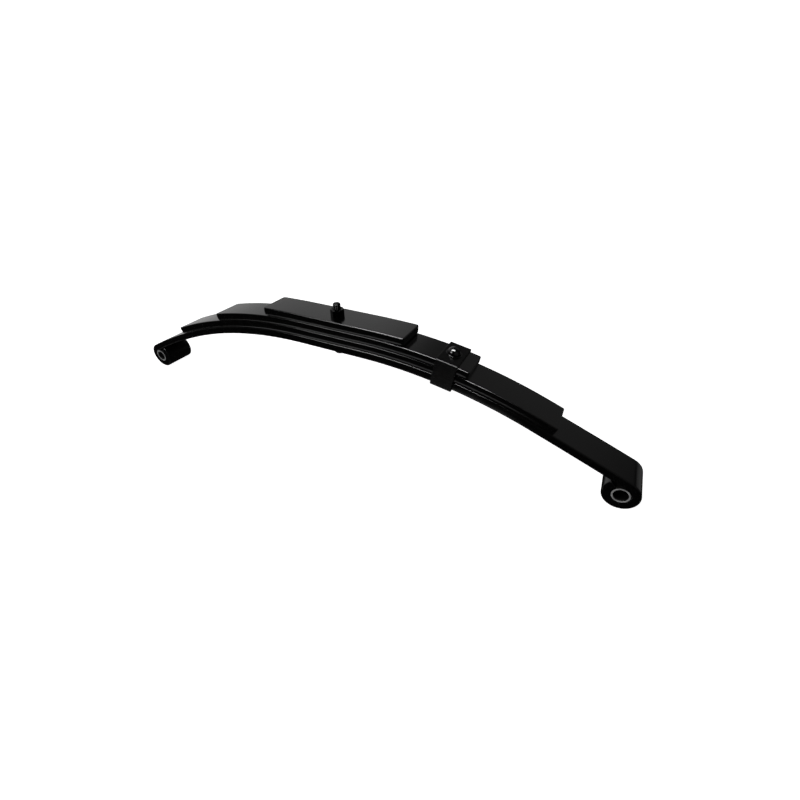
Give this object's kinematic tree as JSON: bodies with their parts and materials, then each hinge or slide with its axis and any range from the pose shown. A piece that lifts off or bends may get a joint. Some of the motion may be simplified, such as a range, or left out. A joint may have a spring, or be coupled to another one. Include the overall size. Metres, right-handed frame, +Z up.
{
  "type": "leaf spring",
  "caption": "Arched multi-leaf suspension spring with rolled eyes, steel eye sleeves, centre bolt and nut, and a riveted rebound clip on one arm.",
  "frame": {"origin": "centre-bolt axis at the flat underside of the main leaf", "axes": "+X along the spring towards the arm with the rebound clip, +Y across the leaves, +Z up, from the main leaf towards the shorter leaves and the nut"},
  "size_m": [0.7887, 0.0522, 0.1767],
  "materials": {
    "black_paint": "glossy",
    "black_hardware": "glossy",
    "bare_steel": "satin"
  },
  "bodies": {
    "leaf_pack": {"main_leaf": "black_paint", "third_leaf": "black_paint", "second_leaf": "black_paint", "top_leaf": "black_paint", "center_bolt": "black_hardware", "center_nut": "black_hardware", "rebound_clip": "black_paint", "clip_rivet": "black_hardware"},
    "left_sleeve": {"left_eye_sleeve": "bare_steel"},
    "right_sleeve": {"right_eye_sleeve": "bare_steel"}
  },
  "joints": [
    {"name": "left_arm_flex", "type": "hinge", "parent": "leaf_pack", "child": "left_sleeve", "pos_m": [-0.15, 0, -0.003], "axis": [0, 1, 0], "range_deg": [0, 12.5], "stiffness_Nm_per_rad": 200, "deforming": ["main_leaf", "third_leaf", "second_leaf"]},
    {"name": "right_arm_flex", "type": "hinge", "parent": "leaf_pack", "child": "right_sleeve", "pos_m": [0.15, 0, -0.003], "axis": [0, -1, 0], "range_deg": [0, 12.5], "stiffness_Nm_per_rad": 200, "deforming": ["main_leaf", "third_leaf", "second_leaf", "rebound_clip", "clip_rivet"]}
  ]
}
